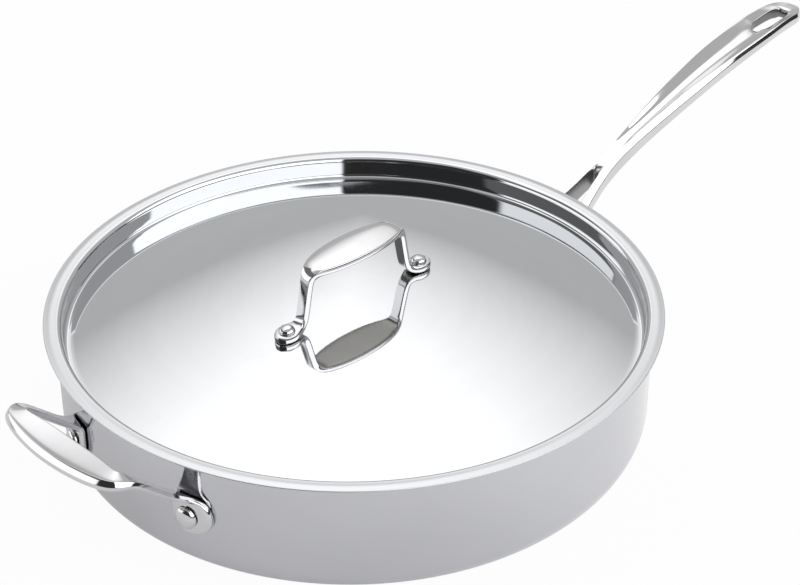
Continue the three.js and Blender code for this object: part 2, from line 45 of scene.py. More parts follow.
# Pan body
PAN_HEIGHT = 70.9
PAN_WALL_R = 161.5
PAN_LIP_OVERHANG = 2.8
BASE_CORNER_R = 17
LIP_BEND_R = 2
OUTER_PLY = 0.5
CORE_PLY = 1
INNER_PLY = 0.5
PLY_GAP = 0.2

# Lid
LID_SHEET = 0.8
LID_SEAT_GAP = 0.3
LID_SKIRT_GAP = 0.8
LID_OVERHANG = 3.2  # of the lid's flange past the pan's lip
LID_RECESS = 12.5
LID_FILLET_R = 2.2
LID_CREST_R = 3.2  # between skirt and flange
LID_RING_WIDTH = 1.5
LID_DOME_RISE = 12
LID_FLANGE_CROWN = 0.25  # swell of the flange

# Lid handle
LID_HANDLE_RIVET_SPACING = 99
LID_HANDLE_HEIGHT = 36.4
LID_HANDLE_GRIP_SPAN = 66.5
LID_HANDLE_FOOT_SPAN = 78
LID_HANDLE_GRIP_ARCH = 0.8
LID_HANDLE_GRIP_WIDTH = 24.6
LID_HANDLE_LEG_WIDTH = 7.4
LID_HANDLE_FOOT_WIDTH = 13.5
LID_HANDLE_FOOT_END = 7.4  # rivet to free end
LID_HANDLE_GRIP_THICK = 3.8
LID_HANDLE_LEG_THICK = 4
LID_HANDLE_BEND = 6.5
LID_HANDLE_LEAF_HALF = 35  # half length of the leaf outline seen from above
LID_HANDLE_CROWN = 1  # swell of the grip's top face
LID_HANDLE_LEG_CROWN = 0.3  # share of it that is left on the legs
LID_HANDLE_EDGE = 0.7  # bevel along the top face
LID_HANDLE_EDGE_SHARE = 0.3  # its largest share of the half width
LID_HANDLE_ARCH_START = 0.66  # share of the arch where the bend ends
LID_HANDLE_FOOT_FROM = 2  # full width of the foot, before the rivet
LID_HANDLE_BLEND = 4  # power that blends leg and leaf
LID_HANDLE_END = 0.02  # least squared share of the width at the free end
LID_HANDLE_FOOT_SHARES = (0.01, 0.06, 0.18, 0.4, 0.7)  # of rings along the foot
LID_HANDLE_BEND_SHARES = (0, 0.2, 0.4, 0.6, 0.8, 1)  # round the bend into the grip
LID_HANDLE_GRIP_SHARES = (0.15, 0.35, 0.65, 1)  # along half the grip
LID_HANDLE_CREASES = {0: 0.6, 4: 0.6, 6: 0.3, 8: 0.3}  # sharpness along a point of each ring

# Riveted feet of both pan handles
FOOT_RIVET_Z = 38.2
FOOT_THICK = 3.6
FOOT_HEIGHT = 19.6
FOOT_END = 14
FOOT_FULLNESS = 3  # power of the rounding at a long handle foot's free end
FOOT_FOLD_R = 2  # in the fold between that foot and its leg
FOOT_PLACES = (0.985, 0.93, 0.8, 0.5, 0)  # of its rings, as shares from the rivet to the free end
FOLD_SHARES = (0, 0.33, 0.67, 1)  # of the rings round a fold or bend

# Long handle
LONG_LENGTH = 234.5
LONG_ROOT_TOP_Z = 49
LONG_RISE = 69.2
LONG_LEVEL_POWER = 2.1
LONG_ROOT_WIDTH = 34
LONG_ROOT_LEAD = 3  # start of the outline's curve, inside the wall
LONG_ROOT_FLARE = 1.5  # extra half width there
LONG_FORK_HOLLOW = 2  # by which the sides draw in halfway to the waist
LONG_WAIST_WIDTH = 12.6
LONG_WAIST_AT = 55
LONG_GRIP_WIDTH = 27.4
LONG_GRIP_FROM_TIP = 49.5
LONG_TIP_R = 12
LONG_ROOT_THICK = 14
LONG_WAIST_THICK = 13.4
LONG_GRIP_THICK = 8
LONG_SIDE_DRAFT = 0.6  # how far the sides lean in towards the bottom
LONG_DISH = 3  # depth of the trough along the grip
LONG_TROUGH = ((-15, 0), (7, 0), (25, 0.65), (47, 1), (70, 1), (113, 1.15))  # places past the waist, shares
LONG_TROUGH_TIP = 0.45  # share at the tip
LONG_TIP_FLAT = 0.9  # share of the trough that is gone at the tip
LONG_TIP_FADE = (LONG_LENGTH - 24, LONG_LENGTH - 1)  # where it goes
LONG_TIP_LIFT = 1.6  # of the rims along the last stretch
LONG_TIP_LIFT_LENGTH = 70
LONG_DISH_FLOOR_HALF = 2.6  # flat bottom of the trough
LONG_DISH_FLOOR_SHARE = 0.36  # its largest share of the handle's half width
LONG_NECK_BEVEL = 2.9  # width of the bevel along the sides of the neck
LONG_NECK_STEEPNESS = 1.45  # its height for that width
LONG_TIP_BEVEL = 1.4
LONG_TIP_STEEPNESS = 2.07
LONG_BEVEL_CHANGE = (126, 148)  # where one passes into the other
LONG_BEVEL_SHARE = 0.4  # largest share of the handle's half width
LONG_RIM_DROP = 0.8  # of the grip's rims below the line of the neck
LONG_RIM_LOW_AT = LONG_WAIST_AT + 45
LONG_THIN_PAST_GRIP = 15  # from the widest place to the thinnest
LONG_LEG_SLANT = 0.25  # sideways step of a fork leg for each step along it
LONG_NECK_PLACES = (LONG_WAIST_AT, 63, 72, 82, 100, 125, 150, 168, 180)  # of rings, from the wall
LONG_TIP_PLACES = (3.6, 1.7, 0.5)  # of rings, back from the tip
LONG_CREASES = {2: 0.5, 3: 0.6, 4: 0.45, 5: 0.3}  # sharpness along a point of each ring
SLOT_CREASE = 0.5
FORK_END_AT = 41
FORK_END_R = 3.8
FORK_MOUTH_WIDTH = 26
FORK_TAPER_POWER = 1.6
FORK_PLACES = (6, 13, 21, 29)  # of rings along the fork, from the wall
FORK_TO_NECK = 5  # from the fork's closed end to the next ring
HANG_SLOT_FROM_TIP = 11
HANG_SLOT_LENGTH = 28.5
HANG_SLOT_WIDTH = 12

# Helper handle
HELPER_RIVET_AZIMUTH = 15.8
HELPER_LEG_OFFSET = 42.2  # sideways to the middle of a leg
HELPER_LEG_WIDTH = 9.6
HELPER_LEG_THICK = 3.6
HELPER_LEG_SLOPE = 0.925  # rise for each step outwards
HELPER_LEG_FOOT_Z = 49.3  # top of the leg where it would meet the wall's foremost line
HELPER_REACH = 46.5
HELPER_GRIP_TOP_Z = 80
HELPER_GRIP_WIDTH = 19.3
HELPER_GRIP_THICK = 6.4
HELPER_END_IN = 5.4  # how far the grip's inner edge moves outwards at its ends
HELPER_END_OUT = 7.5  # how far the outer edge moves inwards there
HELPER_CORNER_R = 4  # inside the corner between leg and grip
HELPER_CORNER_IN = 1.5  # centre of that rounding, in from the grip's inner edge
HELPER_CORNER_WIDTH = 12.6  # of the strip where the corner meets the grip
HELPER_LEAF_HALF = HELPER_LEG_OFFSET + 2  # half length of the grip's leaf outline
HELPER_GRIP_PLACES = (29, 24, 17, 9, 0)  # of rings, sideways from the middle
HELPER_LEG_PLACES = (6, 13, 20)  # of rings, outwards
HELPER_DISH = 1.8  # hollow in the grip's top face
HELPER_RIM_INSET = 2.4  # width of the bevel along the grip's outer edge
HELPER_LEG_RIM_INSET = 1.2
HELPER_BEVEL_STEEPNESS = 1.33  # height of a bevel for its width
HELPER_TAB_INNER = 9.5  # rivet to the tab's edge on the middle's side
HELPER_TAB_RIM_INSET = 0.4
HELPER_TAB_SOFT = 1.3  # rounding round the tab's outward face
HELPER_EDGE_SOFT = 0.8  # rounding of the other edges
HELPER_BEND_OUT = 0.9  # bend between tab and leg, out from the tab's back
HELPER_BEND_RISE = 1.26  # its height above the rivet, in half heights of the tab
HELPER_BEND_LEAN = 0.3871  # rise of its top face's direction for each step inwards
HELPER_BEND_INNER = 8.6
HELPER_BEND_OUTER = 5.6
HELPER_BEND_HUG = 0.8  # share of the wall's curve that it follows
HELPER_CREASES = {1: 0.4, 4: 0.7, 6: 0.5}  # sharpness along a point of each ring

# Rivets
WALL_RIVET = {"head_r": 6.2, "head_h": 3, "shank_r": 3, "tail_r": 7, "tail_h": 1.8}
LID_RIVET = {"head_r": 4.5, "head_h": 2.8, "shank_r": 2.2, "tail_r": 4.5, "tail_h": 1.4}
RIVET_ROUNDING = 0.8  # powers that shape the heads and tails
RIVET_CROWN = 0.9

# Clearances between separate pieces
SEAT_GAP = 0.3
TAIL_GAP = 0.5
HEAD_GAP = 1.6

# Fineness of the surfaces
ROUND_STEPS = 256
RIVET_STEPS = 48
CAGE_LEVELS = 3
SHARP_ANGLE = radians(40)
AXIS_R = 1e-6  # a ring below this radius is one point

# Photograph's camera, in metres and degrees
CAMERA_ELEVATION = 32.72
CAMERA_AZIMUTH = -45
CAMERA_ROLL = -0.18
CAMERA_DISTANCE = 1.0917
CAMERA_LENS = 90.54  # millimetres
CAMERA_SENSOR = 36  # millimetres across
CAMERA_AIM = (0, 0, 0.072)
CAMERA_AIM_RIGHT = 0.02463
CAMERA_AIM_UP = 0.00358

# Finishes
NOISE_LOW, NOISE_HIGH = 0.3, 0.7  # middle of a noise's range
UNDERSIDE_FROM, UNDERSIDE_FULL = -0.5, -0.85  # upward part of a face's direction, where the painted shade under the cast pieces begins and is full
UPRIGHT_FROM, UPRIGHT_FULL = 0.75, 0.4
MIX_FIRST, MIX_SECOND, MIX_RESULT = 6, 7, 2  # colour sockets of a Mix node
RECESS_MARGIN = 2  # millimetres past the ends of a slot
FLANGE_BLEND = 1  # millimetres over which the flange turns dull

# Studio floor
FLOOR_HALF = 12  # metres
SHADOW_SHARE = 0.04  # how much of the floor's own shading the camera sees
MIRRORED_SHARE = 0.75  # how much of it shows in the metal
MIRRORED_SHARE_RIGHT = 0.12  # the same right of the pan, where light is painted on the floor for the metal
PAINTED_LIGHT_FROM, PAINTED_LIGHT_TO = 0.01, 0.2  # metres to the right of the pan's middle, over which that painted light comes in

# Studio light, with an overhead panel measured on a level ceiling one unit up
SKY_LEVEL = 0.6
PANEL_LEVEL = 1.08  # what the panel adds
PANEL_MIDDLE = 0.05  # its middle, left of the pan
PANEL_NARROWING = 2.45  # how fast its far end comes nearer to either side
PANEL_FAR_END = (1.25, 2.95)  # where it fades
PANEL_SLANT = 0.5  # of its near end
PANEL_NEAR_END = (0.35, 0.55)
LEAST_HEIGHT = 0.02
HORIZON_LEVEL = 0.5  # share of the light that is left at the horizon
HORIZON_TOP = 14  # degrees
# Azimuths from the camera to its right, elevations and soft edge in degrees, and level
SCREENS = (
    ((-125, -58), (27, 50), 4, 0.2),  # dark grey screen on the left
    ((-125, -60), (2, 26), 2, 1.5),  # softbox below it
    ((-58, 7), (-5, 60), 4, 0.04),  # black screen at the camera
    ((7, 99), (0, 58), 2, 2.2),  # softbox on the right
    ((7, 130), (-4, 12), 2, 0.04),  # black strip along its foot
)

# Sizes worked out from the ones above
CORE_DEPTH = OUTER_PLY + PLY_GAP
LINER_DEPTH = CORE_DEPTH + CORE_PLY + PLY_GAP
PAN_THICK = LINER_DEPTH + INNER_PLY
PAN_INNER_R = PAN_WALL_R - PAN_THICK
PAN_LIP_R = PAN_WALL_R + PAN_LIP_OVERHANG
LIP_CENTRE_R = PAN_WALL_R + LIP_BEND_R
LIP_CENTRE_Z = PAN_HEIGHT - PAN_THICK - LIP_BEND_R
LID_TOP_Z = PAN_HEIGHT + LID_SEAT_GAP + LID_SHEET
LID_RING_Z = LID_TOP_Z - LID_RECESS
LID_SKIRT_R = PAN_INNER_R - LID_SKIRT_GAP - LID_SHEET
LID_CREST_CENTRE_R = LID_SKIRT_R + LID_CREST_R
LID_EDGE_R = PAN_LIP_R + LID_OVERHANG - LID_SHEET / 2
LID_DOME_R = LID_SKIRT_R - LID_FILLET_R - LID_RING_WIDTH
LID_FOOT_Z = LID_RING_Z + SEAT_GAP
LID_HANDLE_TOP_Z = LID_RING_Z + LID_DOME_RISE + LID_HANDLE_HEIGHT
LID_RIVET_X = LID_HANDLE_RIVET_SPACING / 2
FOOT_FACE_R = PAN_WALL_R + SEAT_GAP
FOOT_MID_R = FOOT_FACE_R + FOOT_THICK / 2
FOOT_OUTER_R = FOOT_FACE_R + FOOT_THICK
WALL_RIVET_SEAT_R = FOOT_OUTER_R + SEAT_GAP
LONG_GRIP_AT = LONG_LENGTH - LONG_GRIP_FROM_TIP
LONG_RIVET_OFFSET = LONG_ROOT_WIDTH / 2 + HEAD_GAP + WALL_RIVET["head_r"]
LONG_RIVET_AZIMUTH = degrees(asin(LONG_RIVET_OFFSET / PAN_WALL_R))

ALONG_X = Vector((1, 0, 0))
ALONG_Y = Vector((0, 1, 0))
UP = Vector((0, 0, 1))


def lerp(start, end, share):
    return start + (end - start) * share


def smoothstep(value, low, high):
    share = min(1, max(0, (value - low) / (high - low)))
    return share * share * (3 - 2 * share)


def heading(angle):
    """Level direction at an angle from +X."""
    return Vector((cos(angle), sin(angle), 0))


def left_of(direction):
    return Vector((-direction.y, direction.x, 0))


def arc(centre_r, centre_z, radius, start, end, steps):
    """Points of an arc in the (radius, height) plane, angles in degrees."""
    angles = [radians(lerp(start, end, i / steps)) for i in range(steps + 1)]
    return [(centre_r + radius * cos(a), centre_z + radius * sin(a)) for a in angles]


def smooth_curve(knots, value):
    """Smooth curve through (place, size) knots, read at one place."""
    index = min(len(knots) - 2, max(0, sum(place <= value for place, _ in knots) - 1))
    before = knots[max(0, index - 1)]
    left, right = knots[index], knots[index + 1]
    after = knots[min(len(knots) - 1, index + 2)]
    span = right[0] - left[0]
    slope_left = (right[1] - before[1]) / (right[0] - before[0])
    slope_right = (after[1] - left[1]) / (after[0] - left[0])
    t = (value - left[0]) / span
    rise = left[1] * (1 + 2 * t) * (1 - t) ** 2 + right[1] * t * t * (3 - 2 * t)
    return rise + span * (slope_left * t * (1 - t) ** 2 - slope_right * t * t * (1 - t))


def new_piece(name, bm):
    """Turn a bmesh in millimetres into a smooth-shaded object in metres."""
    bmesh.ops.recalc_face_normals(bm, faces=bm.faces)
    bmesh.ops.scale(bm, vec=(MM, MM, MM), verts=bm.verts)
    mesh = bpy.data.meshes.new(name)
    bm.to_mesh(mesh)
    bm.free()
    mesh.shade_smooth()
    piece = bpy.data.objects.new(name, mesh)
    scene.collection.objects.link(piece)
    return piece


def lathe(name, profile, steps=ROUND_STEPS, matrix=Matrix.Identity(4)):
    """Turn a (radius, height) profile, which starts and ends on the axis, about Z."""
    bm = bmesh.new()
    rings = []
    for radius, height in profile:
        count = 1 if radius < AXIS_R else steps
        angles = [2 * pi * i / steps for i in range(count)]
        ring = [bm.verts.new((radius * cos(a), radius * sin(a), height)) for a in angles]
        rings.append(ring)
    for ring, other in zip(rings, rings[1:]):
        for i in range(steps):
            j = (i + 1) % steps
            near = (ring[i % len(ring)], ring[j % len(ring)])
            far = (other[j % len(other)], other[i % len(other)])
            bm.faces.new(list(dict.fromkeys(near + far)))
    bmesh.ops.transform(bm, matrix=matrix, verts=bm.verts)
    piece = new_piece(name, bm)
    piece.data.set_sharp_from_angle(angle=SHARP_ANGLE)
    return piece


class Cage:
    """Quad cage of a cast piece, in millimetres. Creased edges stay crisp when it is subdivided."""

    def __init__(self):
        self.bm = bmesh.new()
        self.crease_layer = self.bm.edges.layers.float.new("crease_edge")

    def ring(self, points):
        return [self.bm.verts.new(point) for point in points]

    def face(self, *corners):
        self.bm.faces.new(list(dict.fromkeys(corners)))

    def skin(self, ring, other, closed=True):
        count = len(ring)
        for k in range(count if closed else count - 1):
            j = (k + 1) % count
            self.face(ring[k], ring[j], other[j], other[k])

    def crease(self, line, sharpness):
        for a, b in zip(line, line[1:]):
            self.bm.edges.get((a, b))[self.crease_layer] = sharpness

    def crease_rings(self, rings, creases):
        for column, sharpness in creases.items():
            self.crease([ring[column] for ring in rings], sharpness)

    def cap(self, ring):
        """Close an end with a row of quads across it."""
        for k in range(len(ring) // 2 - 1):
            self.face(ring[k], ring[k + 1], ring[-2 - k], ring[-1 - k])

    def strip(self, rows, creases):
        """A bar through rows of points, capped at both ends."""
        rings = [self.ring(row) for row in rows]
        for ring, other in zip(rings, rings[1:]):
            self.skin(ring, other)
        self.cap(rings[0])
        self.cap(rings[-1])
        self.crease_rings(rings, creases)

    def piece(self, name):
        piece = new_piece(name, self.bm)
        subdivision = piece.modifiers.new("fine surface", "SUBSURF")
        subdivision.levels = CAGE_LEVELS
        subdivision.render_levels = CAGE_LEVELS
        return piece


# Pan body

def pan_face(depth):
    """One face of the pan wall, a given depth inside its outer face, from the axis to the lip edge."""
    floor_steps = 8
    corner_steps = 20
    lip_steps = 12
    floor_r = PAN_WALL_R - BASE_CORNER_R
    floor = [(floor_r * i / floor_steps, depth) for i in range(floor_steps)]
    corner = arc(floor_r, BASE_CORNER_R, BASE_CORNER_R - depth, -90, 0, corner_steps)
    lip = arc(LIP_CENTRE_R, LIP_CENTRE_Z, LIP_BEND_R + depth, 180, 90, lip_steps)
    return floor + corner + lip


def pan_ply(name, outer_depth, inner_depth):
    """One ply of the pan, with a rounded edge at the lip."""
    thick = inner_depth - outer_depth
    edge_z = LIP_CENTRE_Z + LIP_BEND_R + (outer_depth + inner_depth) / 2
    edge = arc(PAN_LIP_R - thick / 2, edge_z, thick / 2, -90, 90, 6)
    return lathe(name, pan_face(outer_depth) + edge + pan_face(inner_depth)[::-1])


# Lid

def dome_height(radius):
    return LID_DOME_RISE * max(0, 1 - (radius / LID_DOME_R) ** 2)


def lid_face(depth):
    """One face of the lid sheet, a given depth below its top face, from the axis to the flange edge."""
    dome_steps = 72
    ring_steps = 4
    flange_steps = 10
    radii = [LID_DOME_R * i / dome_steps for i in range(dome_steps + 1)]
    dome = [(r, LID_RING_Z - depth + dome_height(r)) for r in radii]
    fillet_centre = LID_SKIRT_R - LID_FILLET_R
    ring_radii = [lerp(LID_DOME_R, fillet_centre, i / ring_steps) for i in range(1, ring_steps)]
    ring = [(r, LID_RING_Z - depth) for r in ring_radii]
    fillet = arc(fillet_centre, LID_RING_Z + LID_FILLET_R, LID_FILLET_R + depth, -90, 0, 10)
    crest = arc(LID_CREST_CENTRE_R, LID_TOP_Z - LID_CREST_R, LID_CREST_R - depth, 180, 90, 20)
    flange = []
    for step in range(1, flange_steps + 1):
        share = step / flange_steps
        swell = LID_FLANGE_CROWN * (1 - cos(2 * pi * share)) / 2
        flange.append((lerp(LID_CREST_CENTRE_R, LID_EDGE_R, share), LID_TOP_Z - depth + swell))
    return dome + ring + fillet + crest + flange


def lid_sheet(name):
    edge_z = LID_TOP_Z - LID_SHEET / 2
    edge = arc(LID_EDGE_R, edge_z, LID_SHEET / 2, 75, -75, 6)
    return lathe(name, lid_face(0) + edge + lid_face(LID_SHEET)[::-1])


# Rivets

def rivet_profile(stack, head_r, head_h, shank_r, tail_r, tail_h):
    """Rivet along +Z: a button head above the seat at height 0, a formed tail below the clamped stack."""
    steps = 10
    quarter = [radians(90 * i / steps) for i in range(steps + 1)]
    tail = [(tail_r * sin(a) ** RIVET_ROUNDING, -stack - tail_h * cos(a)) for a in quarter]
    shank = [(shank_r, -stack), (shank_r, 0)]
    head = [(head_r * cos(a) ** RIVET_ROUNDING, head_h * sin(a) ** RIVET_CROWN) for a in quarter]
    head[-1] = (0, head_h)
    return tail + shank + head


def wall_rivet(name, azimuth):
    stack = WALL_RIVET_SEAT_R - PAN_INNER_R + TAIL_GAP
    turn = Matrix.Rotation(radians(azimuth), 4, "Z")
    shift = Matrix.Translation((WALL_RIVET_SEAT_R, 0, FOOT_RIVET_Z))
    lay = Matrix.Rotation(pi / 2, 4, "Y")
    return lathe(name, rivet_profile(stack, **WALL_RIVET), RIVET_STEPS, turn @ shift @ lay)


def lid_rivet(name, side):
    stack = LID_HANDLE_LEG_THICK + LID_SHEET + 2 * SEAT_GAP + TAIL_GAP
    slope = (dome_height(LID_RIVET_X - 1) - dome_height(LID_RIVET_X + 1)) / 2
    seat = LID_FOOT_Z + dome_height(LID_RIVET_X) + LID_HANDLE_LEG_THICK + SEAT_GAP
    shift = Matrix.Translation((side * LID_RIVET_X, 0, seat))
    tilt = Matrix.Rotation(side * atan(slope), 4, "Y")
    return lathe(name, rivet_profile(stack, **LID_RIVET), RIVET_STEPS, shift @ tilt)


# Riveted foot of the long handle, which folds out into a leg of the fork

def foot_half_height(past_rivet):
    """Half the foot's height at a distance past the rivet, towards the free end."""
    share = max(0, past_rivet) / FOOT_END
    return FOOT_HEIGHT / 2 * sqrt(max(0, 1 - share ** FOOT_FULLNESS))


def foot_stations(rivet_azimuth, leg_start, leg_along, leg_thick):
    """Middle, outward direction, half height and thickness along a foot, from its free end into its leg.

    Seen from above, with the handle along +X and the foot on the +Y side.
    """
    leg_normal = left_of(leg_along)
    fold_r = FOOT_OUTER_R + FOOT_FOLD_R
    fold = leg_start + leg_normal * (leg_thick / 2 + FOOT_FOLD_R)
    along_fold = fold.dot(leg_along)
    fold += leg_along * (sqrt(along_fold ** 2 + fold_r ** 2 - fold.length_squared) - along_fold)
    stations = []
    for past in FOOT_PLACES:
        azimuth = radians(rivet_azimuth) + past * FOOT_END / FOOT_MID_R
        normal = heading(azimuth)
        stations.append((normal * FOOT_MID_R, normal, foot_half_height(past * FOOT_END), FOOT_THICK))
    start = heading(atan2(fold.y, fold.x))
    turn = start.angle(leg_normal)
    side = left_of(start)
    for share in FOLD_SHARES:
        normal = start * cos(share * turn) + side * sin(share * turn)
        thick = lerp(FOOT_THICK, leg_thick, share)
        stations.append((fold - normal * (thick / 2 + FOOT_FOLD_R), normal, FOOT_HEIGHT / 2, thick))
    return stations


# Helper handle

def helper_ring(base, across, up, inner, outer, thick,
                rim_inset=HELPER_RIM_INSET, soft=HELPER_EDGE_SOFT, dish=0, hug=0):
    """Twelve points round the strip: inner edge, dished top face, crisp rim, bevel, outer edge, underside.

    The base lies on the top face, and inner and outer are distances from it across the strip.
    A hug of 1 bends the strip round the pan's wall.
    """
    drop = rim_inset * HELPER_BEVEL_STEEPNESS
    rim = outer - rim_inset
    section = [
        (inner, -dish - soft),
        (lerp(inner, rim, 0.06), -dish),
        (lerp(inner, rim, 0.4), -dish),
        (lerp(inner, rim, 0.84), -0.68 * dish),
        (rim, 0),
        (lerp(rim, outer, 0.34), -0.24 * drop),
        (outer, -drop),
        (outer, soft - thick),
        (outer - soft, -thick),
        (lerp(inner, outer, 0.5), -thick),
        (inner + soft, -thick),
        (inner, soft - thick),
    ]
    radial = Vector((base.x, base.y, 0)).normalized()
    return [base + across * u + up * v - radial * (hug * u * u / (2 * PAN_WALL_R)) for u, v in section]


def helper_tab_rings():
    """Rings of one tab against the wall, from its lower end up into the bend of its leg."""
    radial = heading(radians(HELPER_RIVET_AZIMUTH))
    across = left_of(radial)
    half = FOOT_HEIGHT / 2
    # Height, inner edge and outer edge, as shares of the tab's own sizes
    outline = (
        (-0.98, 0.2, 0.28),
        (-0.92, 0.42, 0.48),
        (-0.73, 0.75, 0.75),
        (-0.38, 0.97, 0.95),
        (0, 1, 1),
        (0.34, 1, 0.97),
        (0.69, 1, 0.86),
        (1, 0.97, 0.68),
    )
    rings = []
    for height, inner, outer in outline:
        base = radial * FOOT_FACE_R + UP * (FOOT_RIVET_Z + height * half)
        width = (-inner * HELPER_TAB_INNER, outer * FOOT_END)
        edges = (HELPER_TAB_RIM_INSET, HELPER_TAB_SOFT)
        rings.append(helper_ring(base, across, -radial, *width, FOOT_THICK, *edges, hug=1))
    bend = radial * (FOOT_FACE_R + HELPER_BEND_OUT) + UP * (FOOT_RIVET_Z + HELPER_BEND_RISE * half)
    bend_up = (UP * HELPER_BEND_LEAN - radial).normalized()
    sizes = (-HELPER_BEND_INNER, HELPER_BEND_OUTER, FOOT_THICK, HELPER_LEG_RIM_INSET)
    rings.append(helper_ring(bend, across, bend_up, *sizes, hug=HELPER_BEND_HUG))
    return rings


def helper_leg_rings():
    """Rings of one leg, a strip that climbs outwards from the bend at the wall."""
    up = Vector((-HELPER_LEG_SLOPE, 0, 1)).normalized()
    half = HELPER_LEG_WIDTH / 2
    rings = []
    for outwards in HELPER_LEG_PLACES:
        x = PAN_WALL_R - FOOT_THICK + outwards
        base = Vector((x, HELPER_LEG_OFFSET, HELPER_LEG_FOOT_Z + HELPER_LEG_SLOPE * outwards))
        rings.append(helper_ring(base, ALONG_Y, up, -half, half, HELPER_LEG_THICK, HELPER_LEG_RIM_INSET))
    return rings


def helper_corner_rings():
    """Rings round the corner from the leg into the grip, turning about an upright line inside it."""
    inner_x = PAN_WALL_R + HELPER_REACH - HELPER_GRIP_WIDTH
    leg_inner = HELPER_LEG_OFFSET - HELPER_LEG_WIDTH / 2
    pivot = Vector((inner_x - HELPER_CORNER_IN, leg_inner - HELPER_CORNER_R, 0))
    # Share of the leg, depth below the grip's top, tilt in degrees and share of the dish
    stations = ((1, 3.6, 30, 0), (0.71, 1.4, 12, 0.1), (0.44, 0.4, 4, 0.25), (0.2, 0, 0, 0.4))
    rings = []
    for share, below, tilt, hollow in stations:
        across = heading(radians(90 * share))
        onwards = -left_of(across)
        up = UP * cos(radians(tilt)) - onwards * sin(radians(tilt))
        outer = HELPER_CORNER_R + lerp(HELPER_CORNER_WIDTH, HELPER_LEG_WIDTH, share)
        thick = lerp(HELPER_GRIP_THICK, HELPER_LEG_THICK, share)
        rim_inset = lerp(HELPER_RIM_INSET, HELPER_LEG_RIM_INSET, share)
        base = pivot + UP * (HELPER_GRIP_TOP_Z - below)
        dish = hollow * HELPER_DISH
        rings.append(helper_ring(base, across, up, HELPER_CORNER_R, outer, thick, rim_inset, dish=dish))
    return rings


def helper_grip_rings():
    """Rings of half the leaf-shaped grip, from its end to its middle."""
    outer_x = PAN_WALL_R + HELPER_REACH
    rings = []
    for y in HELPER_GRIP_PLACES:
        share = y / HELPER_LEAF_HALF
        inner = outer_x - HELPER_GRIP_WIDTH + HELPER_END_IN * share ** 3
        outer = outer_x - HELPER_END_OUT * share ** 2
        base = Vector((0, y, HELPER_GRIP_TOP_Z))
        dish = HELPER_DISH * (1 - share ** 2)
        rings.append(helper_ring(base, ALONG_X, UP, inner, outer, HELPER_GRIP_THICK, dish=dish))
    return rings


def helper_handle(name):
    """Cast loop: half of it is laid out along +X on the +Y side, flipped over to -X and mirrored."""
    half = helper_tab_rings() + helper_leg_rings() + helper_corner_rings() + helper_grip_rings()
    rows = [[Vector((-p.x, p.y, p.z)) for p in row] for row in half]
    rows += [[Vector((-p.x, -p.y, p.z)) for p in row] for row in half[-2::-1]]
    cage = Cage()
    cage.strip(rows, HELPER_CREASES)
    return cage.piece(name)


# Long handle

def long_top(distance):
    share = min(1, max(0, distance / LONG_LENGTH))
    return LONG_ROOT_TOP_Z + LONG_RISE * (1 - (1 - share) ** LONG_LEVEL_POWER)


def long_half_width(distance):
    tip_centre = LONG_LENGTH - LONG_TIP_R
    if distance > tip_centre:
        return sqrt(max(0, LONG_TIP_R ** 2 - (distance - tip_centre) ** 2))
    root, waist, grip = LONG_ROOT_WIDTH / 2, LONG_WAIST_WIDTH / 2, LONG_GRIP_WIDTH / 2
    knots = [
        (-LONG_ROOT_LEAD, root + LONG_ROOT_FLARE),
        (LONG_WAIST_AT / 2, (root + waist) / 2 - LONG_FORK_HOLLOW),
        (LONG_WAIST_AT, waist),
        ((LONG_WAIST_AT + LONG_GRIP_AT) / 2, (waist + 2 * grip) / 3),
        (LONG_GRIP_AT, grip),
        (tip_centre, LONG_TIP_R),
    ]
    return smooth_curve(knots, distance)


def long_thick(distance):
    root = min(1, max(0, 1 - distance / LONG_WAIST_AT))
    thin_at = LONG_GRIP_AT + LONG_THIN_PAST_GRIP
    grip = min(1, max(0, (distance - LONG_WAIST_AT) / (thin_at - LONG_WAIST_AT)))
    return lerp(lerp(LONG_WAIST_THICK, LONG_ROOT_THICK, root), LONG_GRIP_THICK, grip ** 2)


def long_trough(distance):
    """Depth of the trough's middle line below the full height of the rims."""
    knots = [(LONG_WAIST_AT + past, share * LONG_DISH) for past, share in LONG_TROUGH]
    knots.append((LONG_LENGTH, LONG_TROUGH_TIP * LONG_DISH))
    return max(0, smooth_curve(knots, distance))


def long_dish(distance):
    """Depth of the trough below the rims, which come down to meet it at the tip."""
    return long_trough(distance) * (1 - LONG_TIP_FLAT * smoothstep(distance, *LONG_TIP_FADE))


def long_rim(distance):
    """Height of the rims of the grip."""
    low = smoothstep(distance, FORK_END_AT, LONG_RIM_LOW_AT)
    raised = smoothstep(distance, LONG_LENGTH - LONG_TIP_LIFT_LENGTH, LONG_LENGTH)
    full = long_top(distance) - LONG_RIM_DROP * low + LONG_TIP_LIFT * raised
    return full - long_trough(distance) + long_dish(distance)


def fork_half_gap(distance):
    closed = FORK_END_AT - FORK_END_R
    share = min(1, max(0, distance / closed))
    return FORK_END_R + (FORK_MOUTH_WIDTH / 2 - FORK_END_R) * (1 - share) ** FORK_TAPER_POWER


